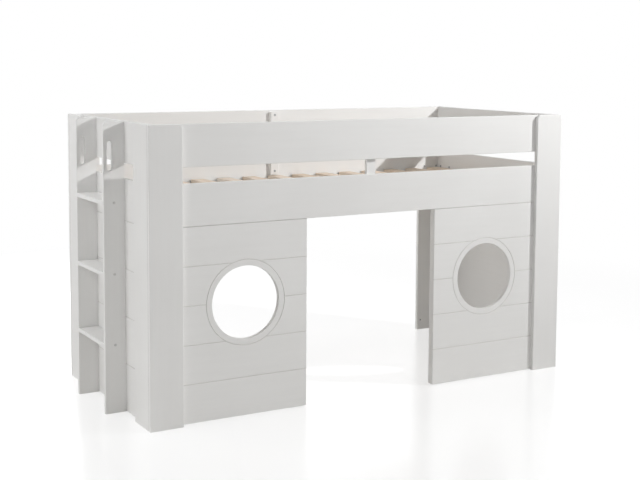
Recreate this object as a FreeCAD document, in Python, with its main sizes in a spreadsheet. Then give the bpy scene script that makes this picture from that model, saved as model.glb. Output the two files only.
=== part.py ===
import FreeCAD, Part
import Sketcher
import math
import os
from types import SimpleNamespace

# Play bed for a child: four L-shaped board posts, guard boards over side rails on all four sides,
# planked panels with round portholes beside a doorway, and a ladder at the left end.
# Millimetres, +Z up, front towards -Y, origin on the floor under the middle of the whole outline.

sizes = {
    # room for the mattress, and the board that nearly everything is cut from
    "mattressLength": 2000,
    "mattressWidth": 900,
    "mattressPlay": 10,
    "boardThick": 18,
    "edgeRadius": 2,
    "edgeChamfer": 1.5,
    # corner posts, two boards each
    "bedHeight": 1214,
    "postFaceWidth": 143,
    "postSideWidth": 149,
    "postCornerRadius": 22,
    "spareHoleRadius": 5,
    "spareHoleDepth": 12,
    "spareHoleInset": 22,
    "spareHoleHeight": 51.5,
    # boards round the bed, from the top down
    "guardHeight": 172,
    "guardGap": 65,
    "railHeight": 172,
    "panelJoint": 1,
    "floorGap": 4.5,
    # planked panels with the doorway between them
    "doorwayWidth": 654,
    "grooveWidth": 4,
    "grooveDepth": 2.5,
    "portholeRadius": 152,
    "ringRadius": 178,
    "portholeDrop": 327,
    # battens behind the boards
    "battenThick": 18,
    "centreBattenWidth": 44,
    "centreBattenDrop": 9,
    "centreBattenLift": 3,
    "doorwayBattenWidth": 60,
    "doorwayBattenSetback": 2.5,
    # roll-out slatted base on its ledgers
    "slatWidth": 68,
    "slatThick": 18,
    "slatDrop": 88,
    "ledgerThick": 25,
    "ledgerHeight": 40,
    "tapeWidth": 20,
    "tapeThick": 1,
    "tapeInset": 120,
    "tapeEnd": 10,
    # ladder
    "ladderWidth": 354,
    "stileDepth": 89,
    "stileThick": 18,
    "stileCornerRadius": 22,
    "treadThick": 18,
    "handleWidth": 22,
    "handleLength": 121,
    "handleInset": 27,
    "handleDrop": 141,
    # bolts of the treads
    "boltRadius": 3,
    "boltHeadRadius": 6,
    "boltHeadThick": 3,
    "boltLength": 52,
    "boltPlay": 0.2,
}

slatCount = 15
frontPlankCount = 5
endPlankCount = 4
treadNames = ["lower", "middle", "upper"]
nearly = 0.001

doc = FreeCAD.newDocument("PlayBed")
sheet = doc.addObject("Spreadsheet::Sheet", "Sizes")


class Size:
    # a length with its formula over the sheet, so that what uses it stays bound to the cells
    def __init__(self, text, value):
        self.text = text
        self.value = float(value)

    def joined(self, sign, other, value):
        return Size("(%s %s %s)" % (self.text, sign, sized(other).text), value)

    def __add__(self, other):
        return self.joined("+", other, self.value + sized(other).value)

    def __sub__(self, other):
        return self.joined("-", other, self.value - sized(other).value)

    def __mul__(self, other):
        return self.joined("*", other, self.value * sized(other).value)

    def __truediv__(self, other):
        return self.joined("/", other, self.value / sized(other).value)


def sized(thing):
    return thing if isinstance(thing, Size) else Size(repr(thing), thing)


def fillSheet(rows):
    made = {}
    for row, (name, value) in enumerate(rows.items(), 1):
        sheet.set("A%d" % row, name)
        sheet.set("B%d" % row, str(value))
        sheet.setAlias("B%d" % row, name)
        made[name] = Size("Sizes." + name, value)
    doc.recompute()
    return SimpleNamespace(**made)


s = fillSheet(sizes)
zero = sized(0)

# places in the whole bed
boards = s.boardThick * 2
bedLength = s.mattressLength + s.mattressPlay + boards * 2
bedWidth = s.mattressWidth + s.mattressPlay + boards * 2
stileReach = s.stileDepth - s.boardThick
leftX = (stileReach - bedLength) / 2
rightX = leftX + bedLength
middleX = leftX + bedLength / 2
frontY = zero - bedWidth / 2
rearY = bedWidth / 2
guardBottom = s.bedHeight - s.guardHeight
railTop = guardBottom - s.guardGap
railBottom = railTop - s.railHeight
panelTop = railBottom - s.panelJoint
panelHeight = panelTop - s.floorGap
slatTop = railTop - s.slatDrop
ledgerTop = slatTop - s.slatThick
ledgerBottom = ledgerTop - s.ledgerHeight


# Tools for bodies, sketches and features


def bind(thing, prop, size):
    thing.setExpression(prop, size.text)


def place(thing, x, y, z):
    bind(thing, "Placement.Base.x", x)
    bind(thing, "Placement.Base.y", y)
    bind(thing, "Placement.Base.z", z)


pieces = []


def newBody(label, x, y, z):
    body = doc.addObject("PartDesign::Body", label)
    body.Label = label
    place(body, x, y, z)
    pieces.append(body)
    return body


# Sketch x and y run along these axes, and the last value says whether the sketch looks along +axis.
planes = {
    "X": ("YZ_Plane", True),
    "Y": ("XZ_Plane", False),
    "Z": ("XY_Plane", True),
}


def newSketch(body, axis, start=zero):
    role, alongAxis = planes[axis]
    plane = [item for item in body.Origin.OriginFeatures if item.Role == role][0]
    sketch = body.newObject("Sketcher::SketchObject", "Sketch")
    sketch.AttachmentSupport = [(plane, "")]
    sketch.MapMode = "FlatFace"
    bind(sketch, "AttachmentOffset.Base.z", start if alongAxis else zero - start)
    return sketch


def pin(sketch, kind, datum, *where):
    index = sketch.addConstraint(Sketcher.Constraint(kind, *where, datum.value))
    sketch.setExpression("Constraints[%d]" % index, datum.text)


def pinPoint(sketch, geometry, end, x, y):
    for kind, datum, axis in (("DistanceX", x, -2), ("DistanceY", y, -1)):
        if datum is zero:
            sketch.addConstraint(Sketcher.Constraint("PointOnObject", geometry, end, axis))
        else:
            pin(sketch, kind, datum, -1, 1, geometry, end)


def drawOutline(sketch, corners):
    points = [FreeCAD.Vector(x.value, y.value, 0) for x, y in corners]
    lines = []
    for start, end in zip(points, points[1:] + points[:1]):
        lines.append(sketch.addGeometry(Part.LineSegment(start, end), False))
    for index, line in enumerate(lines):
        sketch.addConstraint(Sketcher.Constraint("Coincident", lines[index - 1], 2, line, 1))
        pinPoint(sketch, line, 1, *corners[index])


def drawCircles(sketch, spots, radius):
    up = FreeCAD.Vector(0, 0, 1)
    for x, y in spots:
        centre = FreeCAD.Vector(x.value, y.value, 0)
        circle = sketch.addGeometry(Part.Circle(centre, up, radius.value), False)
        pinPoint(sketch, circle, 3, x, y)
        pin(sketch, "Radius", radius, circle)


def pad(body, axis, sketch, length):
    feature = body.newObject("PartDesign::Pad", "Pad")
    feature.Profile = sketch
    feature.Reversed = not planes[axis][1]
    bind(feature, "Length", length)
    doc.recompute()
    return feature


def pocket(body, axis, sketch, depth):
    before = body.Tip.Shape.Volume
    feature = body.newObject("PartDesign::Pocket", "Pocket")
    feature.Profile = sketch
    feature.Reversed = planes[axis][1]
    bind(feature, "Length", depth)
    doc.recompute()
    if not body.Tip.Shape.Volume < before:
        raise RuntimeError("A pocket in %s cuts nothing" % body.Label)
    return feature


# round holes along an axis, from a start depth on
def drill(body, axis, spots, radius, start, depth):
    sketch = newSketch(body, axis, start)
    drawCircles(sketch, spots, radius)
    return pocket(body, axis, sketch, depth)


def flatAt(box, axis, at):
    low = getattr(box, axis + "Min")
    high = getattr(box, axis + "Max")
    return abs(low - at.value) < nearly and abs(high - at.value) < nearly


# a fillet or a chamfer on every edge for which the test is true
def dress(body, kind, prop, size, test):
    base = body.Tip
    names = ["Edge%d" % index for index, edge in enumerate(base.Shape.Edges, 1) if test(edge)]
    if not names:
        raise RuntimeError("No edge to dress in %s" % body.Label)
    feature = body.newObject("PartDesign::" + kind, kind)
    feature.Base = (base, names)
    bind(feature, prop, size)
    doc.recompute()
    return feature


def fillet(body, radius, test):
    return dress(body, "Fillet", "Radius", radius, test)


def chamfer(body, test):
    return dress(body, "Chamfer", "Size", s.edgeChamfer, test)


# test for the edges that lie in one of the faces and in none of the skipped ones
def edgesOf(faces, skipped):
    def test(edge):
        inFace = any(flatAt(edge.BoundBox, axis, at) for axis, at in faces)
        return inFace and not any(flatAt(edge.BoundBox, axis, at) for axis, at in skipped)

    return test


# test for the edge where two planes meet
def edgeAt(first, second):
    return lambda edge: flatAt(edge.BoundBox, *first) and flatAt(edge.BoundBox, *second)


# test for the rims of a bore or a round-ended slot where it meets one of the faces
def rimsOf(radius, faces):
    def test(edge):
        isRim = isinstance(edge.Curve, Part.Circle) and abs(edge.Curve.Radius - radius.value) < nearly
        return isRim and any(flatAt(edge.BoundBox, axis, at) for axis, at in faces)

    return test


# a flat board, drawn square to the axis of its thickness
def board(label, corner, axis, wide, tall, thick):
    body = newBody(label, *corner)
    sketch = newSketch(body, axis)
    drawOutline(sketch, [(zero, zero), (wide, zero), (wide, tall), (zero, tall)])
    pad(body, axis, sketch, thick)
    return body


# Corner posts: a face board on the long side and a side board on the end


def postBoard(label, corner, axis, wide, farEnd, outerFace):
    body = board(label, corner, axis, wide, s.bedHeight, s.boardThick)
    across = "X" if axis == "Y" else "Y"
    topCorner = edgeAt((across, wide if farEnd else zero), ("Z", s.bedHeight))
    fillet(body, s.postCornerRadius, topCorner)
    fillet(body, s.edgeRadius, edgesOf([(axis, outerFace)], [("Z", zero)]))
    # the face board is eased on its inner side too, where the side board meets it in a fine groove
    if axis == "Y":
        jointEdge = edgeAt((across, zero if farEnd else wide), (axis, s.boardThick - outerFace))
        fillet(body, s.edgeRadius, jointEdge)
    return body


# hole for a bolt that this build of the bed leaves out, in the inner face of a rear face board
def spareHole(body, farEnd):
    x = s.postFaceWidth - s.spareHoleInset if farEnd else s.spareHoleInset
    drill(body, "Y", [(x, s.spareHoleHeight)], s.spareHoleRadius, zero, s.spareHoleDepth)


for sideName, atFront in (("front", True), ("rear", False)):
    for endName, atLeft in (("left", True), ("right", False)):
        name = "post_%s_%s" % (sideName, endName)
        x = leftX if atLeft else rightX - s.postFaceWidth
        y = frontY if atFront else rearY - s.boardThick
        outer = zero if atFront else s.boardThick
        face = postBoard(name + "_face", (x, y, zero), "Y", s.postFaceWidth, atLeft, outer)
        if not atFront:
            spareHole(face, atLeft)
        x = leftX if atLeft else rightX - s.boardThick
        y = frontY + s.boardThick if atFront else rearY - s.boardThick - s.postSideWidth
        outer = zero if atLeft else s.boardThick
        postBoard(name + "_side", (x, y, zero), "X", s.postSideWidth, atFront, outer)


# Guard boards and rails: long ones lie between the side boards, short ones between the long ones

longLength = bedLength - boards
shortLength = bedWidth - boards * 2


def edgedBoard(label, corner, axis, wide, tall):
    body = board(label, corner, axis, wide, tall, s.boardThick)
    across = "X" if axis == "Y" else "Y"
    ends = [(across, zero), (across, wide)]
    fillet(body, s.edgeRadius, edgesOf([(axis, zero), (axis, s.boardThick)], ends))
    return body


for sideName, atFront in (("front", True), ("rear", False)):
    x = leftX + s.boardThick
    y = frontY + s.boardThick if atFront else rearY - boards
    edgedBoard(sideName + "_guard_board", (x, y, guardBottom), "Y", longLength, s.guardHeight)
    edgedBoard(sideName + "_side_rail", (x, y, railBottom), "Y", longLength, s.railHeight)

for endName, atLeft in (("left", True), ("right", False)):
    x = leftX + s.boardThick if atLeft else rightX - boards
    y = frontY + boards
    edgedBoard(endName + "_guard_board", (x, y, guardBottom), "X", shortLength, s.guardHeight)
    edgedBoard(endName + "_end_rail", (x, y, railBottom), "X", shortLength, s.railHeight)


# Planked panels: V grooves between the planks, and a ring groove round each porthole


# triangle of a groove in the plane square to its run; the outer face is at one end of the thickness
def drawGroove(sketch, height, face, depthAt):
    half = s.grooveWidth / 2
    drawOutline(sketch, [(face, height - half), (depthAt, height), (face, height + half)])


# the groove under the lowest plank but one, and its copies up the panel, for planks of one height
def plankGrooves(body, run, runLength, count, face, depthAt):
    sketch = newSketch(body, run)
    pitch = panelHeight / count
    drawGroove(sketch, pitch, face, depthAt)
    groove = pocket(body, run, sketch, runLength)
    pattern = body.newObject("PartDesign::LinearPattern", "PlankGrooves")
    pattern.Originals = [groove]
    pattern.Direction = (sketch, ["V_Axis"])
    bind(pattern, "Length", pitch * (count - 2))
    pattern.Occurrences = count - 1
    body.Tip = pattern
    doc.recompute()
    return pattern


def porthole(body, across, height):
    sketch = newSketch(body, "Y")
    drawCircles(sketch, [(across, height)], s.ringRadius)
    pad(body, "Y", sketch, s.grooveDepth)
    drill(body, "Y", [(across, height)], s.portholeRadius, zero, s.boardThick)
    chamfer(body, rimsOf(s.portholeRadius, [("Y", zero)]))
    before = body.Tip.Shape.Volume
    sketch = newSketch(body, "Z")
    bind(sketch, "AttachmentOffset.Base.x", across)
    bind(sketch, "AttachmentOffset.Base.z", height)
    half = s.grooveWidth / 2
    corners = [(s.ringRadius - half, zero), (s.ringRadius + half, zero), (s.ringRadius, s.grooveDepth)]
    drawOutline(sketch, corners)
    ring = body.newObject("PartDesign::Groove", "RingGroove")
    ring.Profile = sketch
    ring.ReferenceAxis = (sketch, ["V_Axis"])
    ring.Angle = 360
    doc.recompute()
    if not body.Tip.Shape.Volume < before:
        raise RuntimeError("The ring groove in %s cuts nothing" % body.Label)


panelLength = (bedLength - s.doorwayWidth) / 2 - s.boardThick
visibleMiddle = (panelLength + s.postFaceWidth - s.boardThick) / 2

for endName, atLeft in (("left", True), ("right", False)):
    x = leftX + s.boardThick if atLeft else rightX - s.boardThick - panelLength
    corner = (x, frontY + s.boardThick, s.floorGap)
    panel = board("front_%s_panel" % endName, corner, "Y", panelLength, panelHeight, s.boardThick)
    postEdge = zero if atLeft else panelLength
    chamfer(panel, edgesOf([("Y", zero)], [("Z", zero), ("X", postEdge)]))
    plankGrooves(panel, "X", panelLength, frontPlankCount, zero, s.grooveDepth)
    across = visibleMiddle if atLeft else panelLength - visibleMiddle
    porthole(panel, across, panelHeight - s.portholeDrop)

for endName, atLeft in (("left", True), ("right", False)):
    x = leftX + s.boardThick if atLeft else rightX - boards
    corner = (x, frontY + boards, s.floorGap)
    panel = board(endName + "_end_panel", corner, "X", shortLength, panelHeight, s.boardThick)
    outer = zero if atLeft else s.boardThick
    bottom = s.grooveDepth if atLeft else s.boardThick - s.grooveDepth
    chamfer(panel, edgesOf([("X", outer)], [("Z", zero), ("Y", zero), ("Y", shortLength)]))
    plankGrooves(panel, "Y", shortLength, endPlankCount, outer, bottom)


# Battens on the inside: one joins guard and rail halfway along, one backs each doorway edge

centreBattenBottom = slatTop + s.centreBattenLift
centreBattenHeight = s.bedHeight - s.centreBattenDrop - centreBattenBottom
for sideName, atFront in (("front", True), ("rear", False)):
    y = frontY + boards if atFront else rearY - boards - s.battenThick
    corner = (middleX - s.centreBattenWidth / 2, y, centreBattenBottom)
    label = sideName + "_centre_batten"
    batten = board(label, corner, "Y", s.centreBattenWidth, centreBattenHeight, s.battenThick)
    shown = s.battenThick if atFront else zero
    chamfer(batten, edgesOf([("Y", shown)], []))

doorwayBattenHeight = ledgerBottom - s.floorGap
fromEnd = s.boardThick + panelLength - s.doorwayBattenSetback - s.doorwayBattenWidth
for endName, atLeft in (("left", True), ("right", False)):
    x = leftX + fromEnd if atLeft else rightX - fromEnd - s.doorwayBattenWidth
    corner = (x, frontY + boards, s.floorGap)
    label = "doorway_batten_" + endName
    batten = board(label, corner, "Y", s.doorwayBattenWidth, doorwayBattenHeight, s.battenThick)
    chamfer(batten, edgesOf([("Y", s.battenThick)], [("Z", zero), ("Z", doorwayBattenHeight)]))


# Slatted base: ledgers on the long rails, and slats held at their pitch by two tapes

innerLength = bedLength - boards * 2
slatPitch = (s.mattressLength - s.slatWidth) / (slatCount - 1)
firstSlatX = middleX - s.mattressLength / 2
slatY = zero - s.mattressWidth / 2

for sideName, atFront in (("front", True), ("rear", False)):
    y = frontY + boards if atFront else rearY - boards - s.ledgerThick
    corner = (leftX + boards, y, ledgerBottom)
    label = sideName + "_slat_ledger"
    ledger = board(label, corner, "Y", innerLength, s.ledgerHeight, s.ledgerThick)
    shown = s.ledgerThick if atFront else zero
    chamfer(ledger, edgesOf([("Y", shown)], [("X", zero), ("X", innerLength)]))
    tapeLength = s.mattressLength - s.tapeEnd * 2
    y = slatY + s.tapeInset - s.tapeWidth / 2 if atFront else zero - slatY - s.tapeInset - s.tapeWidth / 2
    corner = (firstSlatX + s.tapeEnd, y, ledgerTop - s.tapeThick)
    board(sideName + "_slat_tape", corner, "Z", tapeLength, s.tapeWidth, s.tapeThick)

for count in range(slatCount):
    corner = (firstSlatX + slatPitch * count, slatY, ledgerTop)
    slat = board("slat_%02d" % (count + 1), corner, "Z", s.slatWidth, s.mattressWidth, s.slatThick)
    faces = [("Z", zero), ("Z", s.slatThick)]
    chamfer(slat, edgesOf(faces, [("Y", zero), ("Y", s.mattressWidth)]))


# Ladder: two stiles square to the left end, three treads between them

stileX = leftX + s.boardThick - s.stileDepth
stileYs = [zero - s.ladderWidth / 2, s.ladderWidth / 2 - s.stileThick]
# the treads share the climb evenly, and the upper one is level with the slats
climb = slatTop / len(treadNames)
treadMiddles = [climb * (count + 1) - s.treadThick / 2 for count in range(len(treadNames))]
boltX = s.stileDepth / 2
boltHole = s.boltRadius + s.boltPlay


# upright slot with round ends
def drawSlot(sketch, x, y, width, length):
    up = FreeCAD.Vector(0, 0, 1)
    radius = width / 2
    reach = length / 2 - radius
    arcs = []
    for middle, turn in ((y + reach, 0), (y - reach, math.pi)):
        circle = Part.Circle(FreeCAD.Vector(x.value, middle.value, 0), up, radius.value)
        arcs.append(sketch.addGeometry(Part.ArcOfCircle(circle, turn, turn + math.pi), False))
        pinPoint(sketch, arcs[-1], 3, x, middle)
    pin(sketch, "Radius", radius, arcs[0])
    for side, upper, lower in ((-1, 2, 1), (1, 1, 2)):
        edge = x.value + side * radius.value
        bottom = FreeCAD.Vector(edge, (y - reach).value, 0)
        top = FreeCAD.Vector(edge, (y + reach).value, 0)
        line = sketch.addGeometry(Part.LineSegment(bottom, top), False)
        sketch.addConstraint(Sketcher.Constraint("Tangent", line, 1, arcs[1], lower))
        sketch.addConstraint(Sketcher.Constraint("Tangent", line, 2, arcs[0], upper))


for name, y in zip(("front", "rear"), stileYs):
    stile = board("ladder_stile_" + name, (stileX, y, zero), "Y", s.stileDepth, s.bedHeight, s.stileThick)
    fillet(stile, s.stileCornerRadius, edgeAt(("X", zero), ("Z", s.bedHeight)))
    faces = [("Y", zero), ("Y", s.stileThick)]
    chamfer(stile, edgesOf(faces, [("Z", zero), ("X", s.stileDepth)]))
    sketch = newSketch(stile, "Y")
    drawSlot(sketch, s.handleInset, s.bedHeight - s.handleDrop, s.handleWidth, s.handleLength)
    pocket(stile, "Y", sketch, s.stileThick)
    chamfer(stile, rimsOf(s.handleWidth / 2, faces))
    drill(stile, "Y", [(boltX, height) for height in treadMiddles], boltHole, zero, s.stileThick)

treadLength = s.ladderWidth - s.stileThick * 2
treadY = stileYs[0] + s.stileThick
boltInTread = s.boltLength - s.stileThick
for name, middle in zip(treadNames, treadMiddles):
    corner = (stileX, treadY, middle - s.treadThick / 2)
    tread = board("ladder_tread_" + name, corner, "Z", s.stileDepth, treadLength, s.treadThick)
    skipped = [("X", s.stileDepth), ("Y", zero), ("Y", treadLength)]
    fillet(tread, s.edgeRadius, edgesOf([("Z", zero), ("Z", s.treadThick)], skipped))
    for start in (zero, treadLength - boltInTread):
        drill(tread, "Y", [(boltX, s.treadThick / 2)], boltHole, start, boltInTread)


# Bolts of the treads: one master, and a node with its copies


def cylinder(name, radius, height, z):
    rod = doc.addObject("Part::Cylinder", name)
    bind(rod, "Radius", radius)
    bind(rod, "Height", height)
    bind(rod, "Placement.Base.z", z)
    return rod


# the underside of the head lies at the master's origin, and the shank runs down from it
head = cylinder("BoltHead", s.boltHeadRadius, s.boltHeadThick, zero)
shank = cylinder("BoltShank", s.boltRadius, s.boltLength, zero - s.boltLength)
bolt = doc.addObject("Part::Fuse", "Bolt")
bolt.Base = head
bolt.Tool = shank
doc.recompute()

copies = []
for y, way in ((stileYs[0], -1), (stileYs[1] + s.stileThick, 1)):
    outward = FreeCAD.Rotation(FreeCAD.Vector(0, 0, 1), FreeCAD.Vector(0, way, 0))
    for middle in treadMiddles:
        where = FreeCAD.Vector((stileX + boltX).value, y.value, middle.value)
        copy = bolt.Shape.copy()
        copy.Placement = FreeCAD.Placement(where, outward).multiply(copy.Placement)
        copies.append(copy)
bolts = doc.addObject("Part::Feature", "tread_bolts")
bolts.Label = "tread_bolts"
bolts.Shape = Part.Compound(copies)
bolts.Placement = FreeCAD.Placement()
pieces.append(bolts)


# Checks, then one file for each piece

doc.recompute()
for item in doc.Objects:
    if "Invalid" in item.State or "Error" in item.State:
        raise RuntimeError("%s failed: %s" % (item.Label, item.State))
for piece in pieces:
    if piece.Shape.isNull() or not piece.Shape.isValid():
        raise RuntimeError("%s has no valid shape" % piece.Label)

os.makedirs("parts", exist_ok=True)
for piece in pieces:
    piece.Shape.exportStep("parts/%s.step" % piece.Label)
print(len(pieces), "pieces written")
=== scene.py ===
import bpy
import math
from mathutils import Matrix, Vector


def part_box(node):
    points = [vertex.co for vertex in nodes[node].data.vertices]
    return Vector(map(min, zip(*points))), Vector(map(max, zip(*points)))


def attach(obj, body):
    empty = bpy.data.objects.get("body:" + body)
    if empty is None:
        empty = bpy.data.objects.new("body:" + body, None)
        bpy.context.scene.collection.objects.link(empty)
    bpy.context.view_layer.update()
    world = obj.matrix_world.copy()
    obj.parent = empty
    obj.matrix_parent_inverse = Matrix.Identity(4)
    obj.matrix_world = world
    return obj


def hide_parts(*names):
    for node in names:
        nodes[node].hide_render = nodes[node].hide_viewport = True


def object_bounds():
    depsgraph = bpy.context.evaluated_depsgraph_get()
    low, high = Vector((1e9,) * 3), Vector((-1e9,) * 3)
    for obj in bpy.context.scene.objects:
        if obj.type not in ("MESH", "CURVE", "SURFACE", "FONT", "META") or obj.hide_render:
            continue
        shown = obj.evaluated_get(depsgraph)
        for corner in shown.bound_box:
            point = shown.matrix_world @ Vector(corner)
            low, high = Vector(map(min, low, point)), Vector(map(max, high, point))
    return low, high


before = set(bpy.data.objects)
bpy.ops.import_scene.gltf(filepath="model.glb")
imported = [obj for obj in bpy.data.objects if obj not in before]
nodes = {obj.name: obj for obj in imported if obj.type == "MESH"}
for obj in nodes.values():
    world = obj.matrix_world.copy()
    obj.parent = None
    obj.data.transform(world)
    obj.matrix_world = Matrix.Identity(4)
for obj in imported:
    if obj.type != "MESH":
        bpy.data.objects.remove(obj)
cadLow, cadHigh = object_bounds()
print("frame:", len(nodes), "nodes")


# Node trees, for shaders and for geometry


class Wire:
    # an output of a node; sums on wires add Math nodes to their tree
    def __init__(self, graph, socket):
        self.graph = graph
        self.socket = socket

    def math(self, operation, *values):
        return self.graph.node("ShaderNodeMath", {"operation": operation}, dict(enumerate(values)))

    def __add__(self, other):
        return self.math("ADD", self, other)

    def __radd__(self, other):
        return self.math("ADD", other, self)

    def __sub__(self, other):
        return self.math("SUBTRACT", self, other)

    def __rsub__(self, other):
        return self.math("SUBTRACT", other, self)

    def __mul__(self, other):
        return self.math("MULTIPLY", self, other)

    def __rmul__(self, other):
        return self.math("MULTIPLY", other, self)

    def __truediv__(self, other):
        return self.math("DIVIDE", self, other)

    def __rtruediv__(self, other):
        return self.math("DIVIDE", other, self)

    def __abs__(self):
        return self.math("ABSOLUTE", self)


class Graph:
    def __init__(self, tree):
        self.tree = tree

    # a node of any kind, with its settings set before its sockets; a list gives one socket several wires
    def node(self, kind, settings=None, sockets=None, out=0):
        made = self.tree.nodes.new(kind)
        for name, value in (settings or {}).items():
            setattr(made, name, value)
        for name, value in (sockets or {}).items():
            for item in value if isinstance(value, list) else [value]:
                self.feed(made.inputs[name], item)
        return Wire(self, made.outputs[out]) if len(made.outputs) else made

    def feed(self, socket, value):
        if isinstance(value, Wire):
            self.tree.links.new(value.socket, socket)
        else:
            socket.default_value = value

    # 0 below the lower edge, 1 above the upper one
    def step(self, value, low, high):
        limits = {"Value": value, "From Min": low, "From Max": high}
        return self.node("ShaderNodeMapRange", {"interpolation_type": "SMOOTHSTEP"}, limits)

    # runs from the first number to the second as the mask runs from 0 to 1
    def between(self, mask, first, second):
        return mask * (second - first) + first

    # sockets 0, 6 and 7 of a colour Mix node are its factor and its two colours, and output 2 is the result
    def mix(self, share, first, second):
        return self.node("ShaderNodeMix", {"data_type": "RGBA"}, {0: share, 6: first, 7: second}, 2)

    def noise(self, place, scale, detail, rough=0.5, distortion=0.0):
        sockets = {"Vector": place, "Scale": scale, "Detail": detail}
        sockets.update({"Roughness": rough, "Distortion": distortion})
        return self.node("ShaderNodeTexNoise", {}, sockets)

    # object coordinates, drawn out along the axes whose share is small
    def place(self, shares=(1, 1, 1)):
        where = self.node("ShaderNodeTexCoord", {}, {}, "Object")
        return self.node("ShaderNodeMapping", {}, {"Vector": where, "Scale": shares})

    # one wire of the object coordinates for each axis named
    def axes(self, names):
        split = self.node("ShaderNodeSeparateXYZ", {}, {"Vector": self.place()})
        return [Wire(self, split.socket.node.outputs[name]) for name in names]

    def bump(self, height, distance, normal=None):
        sockets = {"Height": height, "Distance": distance}
        if normal:
            sockets["Normal"] = normal
        return self.node("ShaderNodeBump", {}, sockets)


def newMaterial(name):
    material = bpy.data.materials.new(name)
    material.use_nodes = True
    material.node_tree.nodes.clear()
    return material, Graph(material.node_tree)


def finishMaterial(graph, sockets):
    shader = graph.node("ShaderNodeBsdfPrincipled", {}, sockets)
    graph.node("ShaderNodeOutputMaterial", {}, {"Surface": shader})


# Places on the bed that several pieces share


# inner edge of a post board along an axis, and the way from there to the post's corner
def postEdge(name, axis):
    low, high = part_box(name)
    if low[axis] + high[axis] < cadLow[axis] + cadHigh[axis]:
        return high[axis], -1
    return low[axis], 1


# where the face of a piece that looks into the bed lies along an axis, and which way it looks
def innerFace(name, axis):
    low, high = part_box(name)
    outward = Vector((0, 0, 0))
    outward[axis] = -1 if low[axis] > 0 else 1
    return (low if low[axis] > 0 else high)[axis], outward


def middleOf(name):
    low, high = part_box(name)
    return (low + high) / 2


# White lacquer over smooth board: faint clouds, brushed-out grain, hand marks and a fine orange peel

# every noise below is given by its scale and detail, then its roughness and distortion if they matter
lacquer = {
    "pale": (0.880, 0.876, 0.865, 1),
    "deep": (0.855, 0.850, 0.838, 1),
    "clouds": (2.3, 4.0),
    "grain": (60.0, 3.0, 0.6, 0.4),
    "grainDrawn": 0.06,
    "grainHeight": 0.00005,
    "cloudShare": 0.7,
    "tintEdges": (0.35, 0.65),
    "hands": (9.0, 5.0, 0.6),
    "handEdges": (0.3, 0.7),
    "rough": (0.40, 0.52),
    "peel": (420.0, 1.0),
    "peelHeight": 0.00003,
    "ior": 1.5,
}


# the grain follows the length of the board, along one axis; lines gives a mask of what is painted darker:
# painted shade in each groove, or the dark joints
def lacquerMaterial(name, axis, lines=None, lineColour=None):
    look = lacquer
    material, graph = newMaterial(name)
    plain = graph.place()
    drawn = tuple(look["grainDrawn"] if way == axis else 1 for way in range(3))
    clouds = graph.noise(plain, *look["clouds"])
    grain = graph.noise(graph.place(drawn), *look["grain"])
    share = look["cloudShare"]
    tint = graph.step(clouds * share + grain * (1 - share), *look["tintEdges"])
    colour = graph.mix(tint, look["pale"], look["deep"])
    if lines:
        colour = graph.mix(lines(graph), colour, lineColour)
    hands = graph.noise(plain, *look["hands"])
    rough = graph.between(graph.step(hands, *look["handEdges"]), *look["rough"])
    peel = graph.noise(plain, *look["peel"])
    coarse = graph.bump(grain, look["grainHeight"])
    fine = graph.bump(peel, look["peelHeight"], coarse)
    finishMaterial(graph, {"Base Color": colour, "Roughness": rough, "Normal": fine, "IOR": look["ior"]})
    return material


grainWays = ("long", "cross", "upright")
lacquers = [lacquerMaterial("white_lacquer_" + way, axis) for axis, way in enumerate(grainWays)]


# The cut lines of panels and posts: painted shade in each groove of the panels, and the dark joints of the
# posts

lineFade = 1.5    # the share of its depth at which the colour of a line has gone


# 1 in the middle of a line, 0 at half its width from there
def lineAt(graph, distance, halfWidth):
    return 1 - graph.step(distance, 0.0, halfWidth)


# 1 from the outer face down to a depth, 0 further in
def downTo(graph, below, depth):
    return 1 - graph.step(below, depth, depth * lineFade)


# painted shade in the groove between planks of one height, and in a ring round the porthole of a front
# panel
grooveShade = {
    # the painted shade colour at the bottom of each groove
    "colour": (0.72, 0.71, 0.69, 1),
    "halfWidth": 0.0024,
    "depth": 0.004,
    "frontPlanks": 5,
    "endPlanks": 4,
    "portholeDrop": 0.327,
    "ringRadius": 0.178,
    "ringSoft": 0.001,
}


# the porthole lies halfway between the post and the doorway
def portholeMiddle(name):
    low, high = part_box(name)
    edge, way = postEdge("post_" + name.replace("panel", "face"), 0)
    doorway = high.x if way < 0 else low.x
    return (edge + doorway) / 2, 0, high.z - grooveShade["portholeDrop"]


# mask of the painted shade that darkens each groove of a panel and the porthole ring
def grooveShadeLines(name):
    look = grooveShade
    low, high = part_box(name)
    front = name.startswith("front")
    pitch = (high.z - low.z) / (look["frontPlanks"] if front else look["endPlanks"])

    def lines(graph):
        x, y, z = graph.axes("XYZ")
        apart = graph.node("ShaderNodeMath", {"operation": "PINGPONG"}, {0: (z - low.z) / pitch, 1: 0.5})
        shown = lineAt(graph, apart * pitch, look["halfWidth"])
        if not front:
            below = x - low.x if low.x < 0 else high.x - x
            return shown * downTo(graph, below, look["depth"])
        ends = {0: graph.place((1, 0, 1)), 1: portholeMiddle(name)}
        away = graph.node("ShaderNodeVectorMath", {"operation": "DISTANCE"}, ends, "Value")
        outside = graph.step(away, look["ringRadius"] - look["ringSoft"], look["ringRadius"])
        ring = lineAt(graph, abs(away - look["ringRadius"]), look["halfWidth"])
        shown = graph.node("ShaderNodeMath", {"operation": "MAXIMUM"}, {0: shown * outside, 1: ring})
        return shown * downTo(graph, y - low.y, look["depth"])

    return lines


# the two boards of each post meet in a fine joint on the outer side
joints = {
    "colour": (0.42, 0.415, 0.405, 1),
    "halfWidth": 0.0018,
    "depth": 0.003,
}


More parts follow.
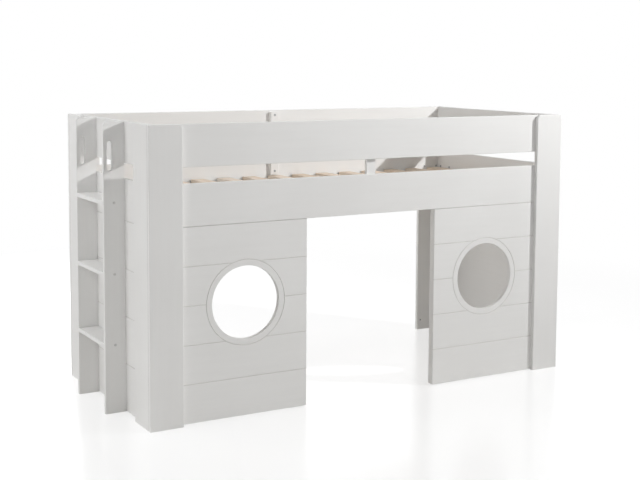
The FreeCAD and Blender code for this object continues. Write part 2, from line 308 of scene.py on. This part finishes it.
def jointLines(graph):
    look = joints
    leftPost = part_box("post_front_left_face")
    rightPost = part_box("post_front_right_face")
    x, y = graph.axes("XY")
    apart = abs(abs(y) - abs(leftPost[1].y))
    sides = {0: x - leftPost[0].x, 1: rightPost[1].x - x}
    below = graph.node("ShaderNodeMath", {"operation": "MINIMUM"}, sides)
    return lineAt(graph, apart, look["halfWidth"]) * downTo(graph, below, look["depth"])


postFinish = lacquerMaterial("white_lacquer_post", 2, jointLines, joints["colour"])

# white lacquer of the panels, with painted shade in each groove
panelLacquerAndShade = {}
for name in ("front_left_panel", "front_right_panel", "left_end_panel", "right_end_panel"):
    axis = 0 if name.startswith("front") else 1
    panelLacquerAndShade[name] = lacquerMaterial("white_lacquer_" + name, axis, grooveShadeLines(name), grooveShade["colour"])


# Bare planed pine of the slats: late wood lines, colour drift and a few knots

pine = {
    "early": (0.805, 0.675, 0.550, 1),
    "late": (0.670, 0.505, 0.370, 1),
    "pale": (0.845, 0.765, 0.680, 1),
    "knot": (0.330, 0.170, 0.085, 1),
    "drift": (5.0, 2.0),
    "driftDrawn": (1, 0.05, 1),
    "driftEdges": (0.35, 0.65),
    "rings": (70.0, 2.0, 0.5, 1.2),
    "ringDrawn": (1, 0.018, 0.6),
    "ringEdges": (0.46, 0.60),
    "ringShare": 0.55,
    "ringHeight": 0.00008,
    "fibres": (420.0, 2.0, 0.7),
    "fibreDrawn": (1, 0.01, 1),
    "fibreEdges": (0.5, 0.75),
    "fibreShare": 0.25,
    "knotScale": 4.2,
    "knotDrawn": (1, 0.45, 1),
    "knotEdges": (0.045, 0.085),
    "knotShare": 0.85,
    "swirlWidth": 3,
    "swirlShare": 0.12,
    "roughness": 0.62,
    "fibreRough": 0.12,
    "knotPolish": 0.15,
}


def pineMaterial(name):
    look = pine
    material, graph = newMaterial(name)
    cells = {"Vector": graph.place(look["knotDrawn"]), "Scale": look["knotScale"]}
    distance = graph.node("ShaderNodeTexVoronoi", {}, cells)
    core, edge = look["knotEdges"]
    knot = 1 - graph.step(distance, core, edge)
    swirl = 1 - graph.step(distance, edge, edge * look["swirlWidth"])
    waves = graph.noise(graph.place(look["driftDrawn"]), *look["drift"])
    rings = graph.noise(graph.place(look["ringDrawn"]), *look["rings"])
    fibres = graph.noise(graph.place(look["fibreDrawn"]), *look["fibres"])
    bands = graph.step(rings + swirl * look["swirlShare"], *look["ringEdges"])
    base = graph.mix(graph.step(waves, *look["driftEdges"]), look["early"], look["pale"])
    lined = graph.mix(bands * look["ringShare"], base, look["late"])
    threads = graph.step(fibres, *look["fibreEdges"]) * look["fibreShare"]
    grained = graph.mix(threads, lined, look["late"])
    colour = graph.mix(knot * look["knotShare"], grained, look["knot"])
    rough = look["roughness"] + fibres * look["fibreRough"] - knot * look["knotPolish"]
    height = graph.bump((bands + fibres) * 0.5, look["ringHeight"])
    finishMaterial(graph, {"Base Color": colour, "Roughness": rough, "Normal": height})
    return material


slatPine = pineMaterial("slat_pine")


# Zinc of bolts and screws, and white enamel of the bolts that show on the ladder

zinc = {
    "pale": (0.56, 0.565, 0.57, 1),
    "deep": (0.40, 0.405, 0.41, 1),
    "flecks": (240.0, 4.0, 0.65),
    "fleckEdges": (0.35, 0.65),
    "fleckHeight": 0.00002,
    "rough": (0.28, 0.46),
    "metallic": 1.0,
}

enamel = {
    "pale": (0.74, 0.735, 0.725, 1),
    "deep": (0.66, 0.655, 0.645, 1),
    "flecks": (160.0, 3.0),
    "fleckEdges": (0.35, 0.65),
    "fleckHeight": 0.00002,
    "rough": (0.30, 0.42),
    "metallic": 0.0,
}


def boltMaterial(name, look):
    material, graph = newMaterial(name)
    flecks = graph.noise(graph.place(), *look["flecks"])
    mask = graph.step(flecks, *look["fleckEdges"])
    finishMaterial(graph, {
        "Base Color": graph.mix(mask, look["pale"], look["deep"]),
        "Roughness": graph.between(mask, *look["rough"]),
        "Metallic": look["metallic"],
        "Normal": graph.bump(flecks, look["fleckHeight"]),
    })
    return material


zincPlate = boltMaterial("zinc_plate", zinc)
boltEnamel = boltMaterial("bolt_enamel", enamel)


# Webbing of the slat tapes: a plain weave

webbing = {
    "pale": (0.74, 0.71, 0.64, 1),
    "deep": (0.50, 0.47, 0.41, 1),
    "pitch": 0.0011,
    "height": 0.0003,
    "fuzz": (900.0, 2.0),
    "weaveShare": 0.7,
    "roughness": 0.85,
}


def webbingMaterial(name):
    look = webbing
    material, graph = newMaterial(name)
    sine = {"operation": "SINE"}
    turn = math.pi / look["pitch"]
    waves = [graph.node("ShaderNodeMath", sine, {0: axis * turn}) for axis in graph.axes("XY")]
    weave = graph.step(waves[0] * waves[1], -1, 1)
    fuzz = graph.noise(graph.place(), *look["fuzz"])
    share = look["weaveShare"]
    colour = graph.mix(weave * share + fuzz * (1 - share), look["deep"], look["pale"])
    height = graph.bump(weave, look["height"])
    finishMaterial(graph, {"Base Color": colour, "Roughness": look["roughness"], "Normal": height})
    return material


tapeWebbing = webbingMaterial("tape_webbing")


# Every node gets its finish by its kind, and a plain board by the way its length runs


def boardMaterial(name):
    if name in panelLacquerAndShade:
        return panelLacquerAndShade[name]
    if name.startswith("post_"):
        return postFinish
    if name.startswith("slat_"):
        return slatPine
    if name.endswith("_tape"):
        return tapeWebbing
    if name == "tread_bolts":
        return zincPlate
    low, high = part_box(name)
    size = high - low
    return lacquers[max(range(3), key=lambda axis: size[axis])]


for name, node in nodes.items():
    node.data.materials.clear()
    node.data.materials.append(boardMaterial(name))
print("materials on", len(nodes), "nodes")


# Geometry nodes: a tree, its end, and its run on a mesh


# inputs names each input of the tree with its kind of socket; the wires carry the same names
def newTree(name, inputs):
    tree = bpy.data.node_groups.new(name, "GeometryNodeTree")
    for label, kind in inputs.items():
        tree.interface.new_socket(label, in_out="INPUT", socket_type="NodeSocket" + kind)
    tree.interface.new_socket("Geometry", in_out="OUTPUT", socket_type="NodeSocketGeometry")
    given = tree.nodes.new("NodeGroupInput")
    graph = Graph(tree)
    return graph, {label: Wire(graph, given.outputs[label]) for label in inputs}


def endTree(graph, geometry, material):
    solid = graph.node("GeometryNodeRealizeInstances", {}, {"Geometry": geometry})
    finished = graph.node("GeometryNodeSetMaterial", {}, {"Geometry": solid, "Material": material})
    graph.node("NodeGroupOutput", {}, {"Geometry": finished})
    return graph.tree


def newObject(name, mesh):
    made = bpy.data.objects.new(name, mesh)
    bpy.context.scene.collection.objects.link(made)
    return made


# the tree's result on some places, as a plain mesh of its own; values gives every input but the points,
# and directions go into an attribute that turns the heads
def runTree(name, tree, places, values, directions=()):
    mesh = bpy.data.meshes.new(name + "_points")
    mesh.from_pydata(places, [], [])
    if directions:
        outwards = mesh.attributes.new("outward", "FLOAT_VECTOR", "POINT")
        for index, direction in enumerate(directions):
            outwards.data[index].vector = direction
    carrier = newObject(name + "_carrier", mesh)
    modifier = carrier.modifiers.new("tree", "NODES")
    modifier.node_group = tree
    for socket in tree.interface.items_tree:
        if socket.name in values:
            modifier[socket.identifier] = values[socket.name]
    evaluated = carrier.evaluated_get(bpy.context.evaluated_depsgraph_get())
    made = newObject(name, bpy.data.meshes.new_from_object(evaluated))
    bpy.data.objects.remove(carrier)
    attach(made, "root")
    print(name + ":", len(made.data.polygons), "faces")
    return made


# Heads of bolts and screws, on points that carry their outward direction

headSizes = {
    "Head Radius": 0.006,
    "Head Height": 0.003,
    "Top Share": 0.82,
    "Drive Radius": 0.003,
    "Drive Depth": 0.0022,
    "Shank Radius": 0.003,
    "Shank Length": 0.012,
}
roundSides = {"head": 24, "shank": 12}


# a drive of six sides is a hex socket, one of four sides a square recess
def headTree(name, driveSides):
    sizes = {label: "Float" for label in headSizes}
    graph, size = newTree(name, {"Points": "Geometry", **sizes, "Material": "Material"})
    head = graph.node("GeometryNodeMeshCone", {"fill_type": "NGON"}, {
        "Vertices": roundSides["head"],
        "Radius Top": size["Head Radius"] * size["Top Share"],
        "Radius Bottom": size["Head Radius"],
        "Depth": size["Head Height"],
    })
    drive = graph.node("GeometryNodeMeshCylinder", {"fill_type": "NGON"}, {
        "Vertices": driveSides,
        "Radius": size["Drive Radius"],
        "Depth": size["Drive Depth"] * 2,
    })
    lift = graph.node("ShaderNodeCombineXYZ", {}, {"Z": size["Head Height"]})
    raised = graph.node("GeometryNodeTransform", {}, {"Geometry": drive, "Translation": lift})
    solids = {"Mesh 1": head, "Mesh 2": raised}
    cut = graph.node("GeometryNodeMeshBoolean", {"operation": "DIFFERENCE"}, solids)
    shank = graph.node("GeometryNodeMeshCylinder", {"fill_type": "NGON"}, {
        "Vertices": roundSides["shank"],
        "Radius": size["Shank Radius"],
        "Depth": size["Shank Length"],
    })
    sunk = graph.node("ShaderNodeCombineXYZ", {}, {"Z": size["Shank Length"] * -0.5})
    lowered = graph.node("GeometryNodeTransform", {}, {"Geometry": shank, "Translation": sunk})
    bolt = graph.node("GeometryNodeJoinGeometry", {}, {"Geometry": [cut, lowered]})
    vector = {"data_type": "FLOAT_VECTOR"}
    outward = graph.node("GeometryNodeInputNamedAttribute", vector, {"Name": "outward"})
    turn = graph.node("FunctionNodeAlignRotationToVector", {"axis": "Z"}, {"Vector": outward})
    sockets = {"Points": size["Points"], "Instance": bolt, "Rotation": turn}
    placed = graph.node("GeometryNodeInstanceOnPoints", {}, sockets)
    return endTree(graph, placed, size["Material"])


hexHeads = headTree("hex_socket_heads", 6)
squareHeads = headTree("square_drive_heads", 4)


# spots is a list of places and outward directions; look overrides some of the usual sizes
def putHeads(name, heads, spots, look, finish=zincPlate):
    places, directions = zip(*spots)
    values = {**headSizes, **look, "Material": finish}
    return runTree(name, heads, places, values, directions)


# Bolts through the ends of guards, rails and panels into the post boards, heads on the inside

# insets run from the inner edge of a post board towards its corner
boltRows = {
    "nearInset": 0.022,
    "farInset": 0.099,
    "panelHeights": (0.0515, 0.757),
    "railLift": 0.004,
    "Head Radius": 0.0058,
    "Head Height": 0.0026,
    "Drive Radius": 0.0029,
}


def boltSpots(boardName, postName, along, across, heights):
    face, outward = innerFace(boardName, across)
    edge, way = postEdge(postName, along)
    spots = []
    for height in heights:
        for inset in (boltRows["nearInset"], boltRows["farInset"]):
            spot = Vector((0, 0, height))
            spot[along] = edge + way * inset
            spot[across] = face
            spots.append((spot, outward))
    return spots


spots = []
for side in ("front", "rear"):
    for end in ("left", "right"):
        post = "post_%s_%s" % (side, end)
        for board, lift in (("_guard_board", 0), ("_side_rail", boltRows["railLift"])):
            spots += boltSpots(side + board, post + "_face", 0, 1, [middleOf(side + board).z + lift])
        for board, lift in (("_guard_board", 0), ("_end_rail", boltRows["railLift"])):
            spots += boltSpots(end + board, post + "_side", 1, 0, [middleOf(end + board).z + lift])
        spots += boltSpots(end + "_end_panel", post + "_side", 1, 0, boltRows["panelHeights"])
        if side == "front":
            panel = "front_%s_panel" % end
            spots += boltSpots(panel, post + "_face", 0, 1, boltRows["panelHeights"])
putHeads("corner_bolts", hexHeads, spots, boltRows)


# Wood screws: battens, ledgers and stiles

# insets run from the ends of the piece that is named
screwRows = {
    "battenInset": 0.015,
    "guardInset": 0.034,
    "railInset": 0.017,
    "lowInset": 0.019,
    "doorwayCount": 6,
    "doorwayLowInset": 0.055,
    "doorwayTopInset": 0.0275,
    "ledgerCount": 7,
    "ledgerInset": 0.060,
    "stileCount": 3,
    "stileInset": 0.055,
    "Head Radius": 0.0064,
    "Head Height": 0.0014,
    "Top Share": 0.66,
    "Drive Radius": 0.0032,
    "Drive Depth": 0.0013,
}


def spread(low, high, count):
    return [low + (high - low) * index / (count - 1) for index in range(count)]


# places on the inner face of a piece that lies along the bed, given by X and Z
def innerSpots(name, places):
    face, outward = innerFace(name, 1)
    return [(Vector((x, face, z)), outward) for x, z in places]


def centreBattenSpots(side):
    name = side + "_centre_batten"
    low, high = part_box(name)
    heights = [
        high.z - screwRows["battenInset"],
        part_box(side + "_guard_board")[0].z + screwRows["guardInset"],
        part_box(side + "_side_rail")[1].z - screwRows["railInset"],
        low.z + screwRows["lowInset"],
    ]
    return innerSpots(name, [(middleOf(name).x, height) for height in heights])


def doorwayBattenSpots(end):
    name = "doorway_batten_" + end
    low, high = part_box(name)
    lowest = low.z + screwRows["doorwayLowInset"]
    heights = spread(lowest, high.z - screwRows["doorwayTopInset"], screwRows["doorwayCount"])
    return innerSpots(name, [(middleOf(name).x, height) for height in heights])


def ledgerSpots(side):
    name = side + "_slat_ledger"
    low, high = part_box(name)
    inset = screwRows["ledgerInset"]
    runs = spread(low.x + inset, high.x - inset, screwRows["ledgerCount"])
    return innerSpots(name, [(run, middleOf(name).z) for run in runs])


# through the end boards into the edge of each stile
def stileSpots():
    face, outward = innerFace("left_guard_board", 0)
    low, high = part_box("left_end_panel")
    inset = screwRows["stileInset"]
    heights = [middleOf("left_guard_board").z, middleOf("left_end_rail").z]
    heights += spread(low.z + inset, high.z - inset, screwRows["stileCount"])
    made = []
    for stile in ("front", "rear"):
        across = middleOf("ladder_stile_" + stile).y
        made += [(Vector((face, across, height)), outward) for height in heights]
    return made


putHeads("batten_screws", squareHeads, centreBattenSpots("front") + centreBattenSpots("rear"), screwRows)
putHeads("doorway_screws", squareHeads, doorwayBattenSpots("left") + doorwayBattenSpots("right"), screwRows)
putHeads("ledger_screws", squareHeads, ledgerSpots("front") + ledgerSpots("rear"), screwRows)
putHeads("stile_screws", squareHeads, stileSpots(), screwRows)


# Painted bolts through the stiles into the treads

treadBolts = {
    "Head Radius": 0.006,
    "Head Height": 0.003,
    "Top Share": 0.86,
    "Drive Radius": 0.0021,
    "Drive Depth": 0.002,
    "Shank Length": 0.052,
}


def treadBoltSpots():
    made = []
    for stile, way in (("front", -1), ("rear", 1)):
        name = "ladder_stile_" + stile
        low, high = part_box(name)
        face = low.y if way < 0 else high.y
        for tread in ("lower", "middle", "upper"):
            place = Vector((middleOf(name).x, face, middleOf("ladder_tread_" + tread).z))
            made.append((place, Vector((0, way, 0))))
    return made


heads = putHeads("tread_bolt_heads", hexHeads, treadBoltSpots(), treadBolts, boltEnamel)
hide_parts("tread_bolts")


# Threaded inserts in the spare holes of the rear face boards, at the height of the lowest bolts

inserts = {
    "sink": 0.0012,
    "Head Radius": 0.0048,
    "Head Height": 0.0085,
    "Top Share": 1.0,
    "Drive Radius": 0.0034,
    "Drive Depth": 0.0075,
    "Shank Length": 0.002,
}


def insertSpot(end):
    name = "post_rear_%s_face" % end
    face, outward = innerFace(name, 1)
    edge, way = postEdge(name, 0)
    place = Vector((edge + way * boltRows["nearInset"], face, boltRows["panelHeights"][0]))
    return place - outward * (inserts["sink"] + inserts["Head Height"]), outward


putHeads("hole_inserts", hexHeads, [insertSpot("right"), insertSpot("left")], inserts)


# Slat tapes: a thin strip that touches each slat and sags between them

tapes = {
    "sag": 0.0035,
    "thick": 0.0011,
    "stepsPerSlat": 12,
    "rowsAcross": 4,
    "weldWithin": 0.00001,
}
slatNames = sorted(name for name in nodes if name.startswith("slat_"))
slatMiddles = [middleOf(name).x for name in slatNames]
slatPitch = slatMiddles[1] - slatMiddles[0]


# a flat grid, dropped between the slats by the square of a sine along it, then given its thickness
def tapeTree():
    sizes = {label: "Float" for label in ("Length", "Width", "Thickness", "Sag", "Pitch", "First Slat")}
    counts = {"Columns": "Int", "Rows": "Int"}
    graph, size = newTree("slat_tape", {**sizes, **counts, "Place": "Vector", "Material": "Material"})
    flat = graph.node("GeometryNodeMeshGrid", {}, {
        "Size X": size["Length"],
        "Size Y": size["Width"],
        "Vertices X": size["Columns"],
        "Vertices Y": size["Rows"],
    })
    moved = graph.node("GeometryNodeTransform", {}, {"Geometry": flat, "Translation": size["Place"]})
    where = graph.node("GeometryNodeInputPosition")
    along = graph.node("ShaderNodeSeparateXYZ", {}, {"Vector": where}, "X")
    phase = (along - size["First Slat"]) * math.pi / size["Pitch"]
    wave = graph.node("ShaderNodeMath", {"operation": "SINE"}, {0: phase})
    drop = graph.node("ShaderNodeCombineXYZ", {}, {"Z": wave * wave * size["Sag"] * -1.0})
    hung = graph.node("GeometryNodeSetPosition", {}, {"Geometry": moved, "Offset": drop})
    thick = {"Mesh": hung, "Offset Scale": size["Thickness"] * -1.0, "Individual": False}
    walls = graph.node("GeometryNodeExtrudeMesh", {"mode": "FACES"}, thick)
    turned = graph.node("GeometryNodeFlipFaces", {}, {"Mesh": hung})
    closed = graph.node("GeometryNodeJoinGeometry", {}, {"Geometry": [walls, turned]})
    weld = {"Geometry": closed, "Distance": tapes["weldWithin"]}
    merged = graph.node("GeometryNodeMergeByDistance", {}, weld)
    return endTree(graph, merged, size["Material"])


tapeShape = tapeTree()
for side in ("front", "rear"):
    name = side + "_slat_tape"
    low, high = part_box(name)
    values = {
        "Length": high.x - low.x,
        "Width": high.y - low.y,
        "Thickness": tapes["thick"],
        "Sag": tapes["sag"],
        "Pitch": slatPitch,
        "First Slat": slatMiddles[0],
        "Columns": tapes["stepsPerSlat"] * len(slatNames) + 1,
        "Rows": tapes["rowsAcross"],
        "Place": (middleOf(name).x, middleOf(name).y, high.z),
        "Material": tapeWebbing,
    }
    tape = runTree(name + "_webbing", tapeShape, [], values)
    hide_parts(name)


# Staples that hold the tapes to the slats, two at each crossing, driven up from below

staples = {
    "Width": 0.010,
    "Leg": 0.006,
    "Wire": 0.0005,
    "apart": 0.028,
    "sides": 6,
}


# the wire lies along Y with its legs upwards
def stapleTree():
    sizes = {label: "Float" for label in ("Width", "Leg", "Wire")}
    graph, size = newTree("staples", {"Points": "Geometry", **sizes, "Material": "Material"})
    corners = []
    tips = []
    for way in (-0.5, 0.5):
        across = size["Width"] * way
        corners.append(graph.node("ShaderNodeCombineXYZ", {}, {"Y": across}))
        tips.append(graph.node("ShaderNodeCombineXYZ", {}, {"Y": across, "Z": size["Leg"]}))
    runs = []
    for start, end in (corners, (corners[0], tips[0]), (corners[1], tips[1])):
        runs.append(graph.node("GeometryNodeCurvePrimitiveLine", {}, {"Start": start, "End": end}))
    wire = graph.node("GeometryNodeJoinGeometry", {}, {"Geometry": runs})
    ring = {"Resolution": staples["sides"], "Radius": size["Wire"]}
    circle = graph.node("GeometryNodeCurvePrimitiveCircle", {}, ring)
    solid = {"Curve": wire, "Profile Curve": circle, "Fill Caps": True}
    staple = graph.node("GeometryNodeCurveToMesh", {}, solid)
    sockets = {"Points": size["Points"], "Instance": staple}
    placed = graph.node("GeometryNodeInstanceOnPoints", {}, sockets)
    return endTree(graph, placed, size["Material"])


def staplePlaces(side):
    name = side + "_slat_tape"
    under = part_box(name)[1].z - tapes["thick"] - staples["Wire"]
    half = staples["apart"] / 2
    return [(middle + way, middleOf(name).y, under) for middle in slatMiddles for way in (-half, half)]


places = staplePlaces("front") + staplePlaces("rear")
runTree("tape_staples", stapleTree(), places, {**staples, "Material": zincPlate})


# Studio: white floor, broad soft lamps all round and a small key lamp at the front right

studio = {
    "floorSize": 40.0,
    "floorColour": (0.890, 0.878, 0.855, 1),
    "floorWhite": 0.585,
    "floorShade": 0.28,
    "floorGloss": 0.27,
    "floorRough": 0.2,
    "fadeFrom": 1.8,
    "fadeTo": 4.0,
    "worldLight": 0.06,
}

# place, aim, width and power; the key aims over the bed, which evens out its light along the front
lamps = {
    "key": ((3.1, -2.44, 2.89), (0.0, 0.0, 4.3), 0.12, 184.0),
    "leftBox": ((-4.5, 0.5, 1.0), (0.0, 0.0, 0.7), 2.0, 43.0),
    "topBox": ((-2.2, 0.6, 4.5), (-0.6, 0.0, 0.6), 2.0, 54.0),
    "frontBox": ((2.5, -5.0, 4.0), (0.0, 0.0, 0.7), 2.5, 35.0),
    "cameraBox": ((-2.7, -4.8, 2.2), (0.0, 0.0, 0.7), 1.5, 33.0),
    "rearBox": ((-0.4, 4.5, 0.9), (0.5, 0.0, 0.4), 2.0, 72.0),
}


# 1 where the camera looks, also by way of gloss or glass
def lookingRays(graph):
    kinds = ("Camera", "Glossy", "Transmission")
    rays = [graph.node("ShaderNodeLightPath", {}, {}, "Is %s Ray" % kind) for kind in kinds]
    values = {0: rays[0] + rays[1] + rays[2], 1: 1.0}
    return graph.node("ShaderNodeMath", {"operation": "MINIMUM"}, values)


# where it is looked at, the floor is part plain white, part shaded and part mirror, and far off plain white
# all through; other rays see matt paint
def makeFloor():
    half = studio["floorSize"] / 2
    corners = [(-half, -half, 0), (half, -half, 0), (half, half, 0), (-half, half, 0)]
    mesh = bpy.data.meshes.new("floor")
    mesh.from_pydata(corners, [], [(0, 1, 2, 3)])
    floor = newObject("floor", mesh)
    material, graph = newMaterial("floor_paint")
    plain = graph.node("ShaderNodeBsdfDiffuse", {}, {"Color": studio["floorColour"]})
    white = graph.node("ShaderNodeEmission", {}, {"Color": (1, 1, 1, 1), "Strength": studio["floorWhite"]})
    shaded = graph.node("ShaderNodeBsdfDiffuse", {}, {"Color": (studio["floorShade"],) * 3 + (1,)})
    sockets = {"Color": (studio["floorGloss"],) * 3 + (1,), "Roughness": studio["floorRough"]}
    mirror = graph.node("ShaderNodeBsdfAnisotropic", {}, sockets)
    lit = graph.node("ShaderNodeAddShader", {}, {0: white, 1: shaded})
    both = graph.node("ShaderNodeAddShader", {}, {0: lit, 1: mirror})
    away = graph.node("ShaderNodeVectorMath", {"operation": "LENGTH"}, {0: graph.place()}, "Value")
    far = graph.step(away, studio["fadeFrom"], studio["fadeTo"])
    glow = graph.node("ShaderNodeEmission", {}, {"Color": (1, 1, 1, 1), "Strength": 1.0})
    faded = graph.node("ShaderNodeMixShader", {}, {0: far, 1: both, 2: glow})
    mixed = graph.node("ShaderNodeMixShader", {}, {0: lookingRays(graph), 1: plain, 2: faded})
    graph.node("ShaderNodeOutputMaterial", {}, {"Surface": mixed})
    mesh.materials.append(material)


def makeWorld():
    world = bpy.data.worlds.new("studio")
    bpy.context.scene.world = world
    world.use_nodes = True
    world.node_tree.nodes.clear()
    graph = Graph(world.node_tree)
    strength = graph.between(lookingRays(graph), studio["worldLight"], 1)
    light = graph.node("ShaderNodeBackground", {}, {"Color": (1, 1, 1, 1), "Strength": strength})
    graph.node("ShaderNodeOutputWorld", {}, {"Surface": light})


def makeLamp(name, place, aim, width, power):
    data = bpy.data.lights.new(name, "AREA")
    data.shape = "DISK"
    data.size = width
    data.energy = power
    lamp = newObject(name, data)
    lamp.location = place
    lamp.rotation_euler = (Vector(aim) - lamp.location).to_track_quat("-Z", "Y").to_euler()


makeFloor()
makeWorld()
for name, values in lamps.items():
    makeLamp(name, *values)


# Camera, fitted to the corners of the bed in the photograph

view = {
    "place": (-2.7178, -4.7744, 1.4845),
    "yaw": math.radians(-30.037),
    "pitch": math.radians(5.173),
    "roll": math.radians(0.328),
    "lens": 66.770,
    "sensor": 36.0,
    "shift": -0.12,
}


def makeCamera():
    data = bpy.data.cameras.new("camera")
    data.lens = view["lens"]
    data.sensor_width = view["sensor"]
    data.shift_y = view["shift"]
    camera = newObject("camera", data)
    turn = Matrix.Rotation(view["yaw"], 4, "Z")
    turn = turn @ Matrix.Rotation(math.pi / 2 - view["pitch"], 4, "X")
    turn = turn @ Matrix.Rotation(view["roll"], 4, "Z")
    camera.matrix_world = Matrix.Translation(view["place"]) @ turn
    bpy.context.scene.camera = camera


makeCamera()
bpy.context.scene.view_settings.view_transform = "Standard"
print("studio ready")
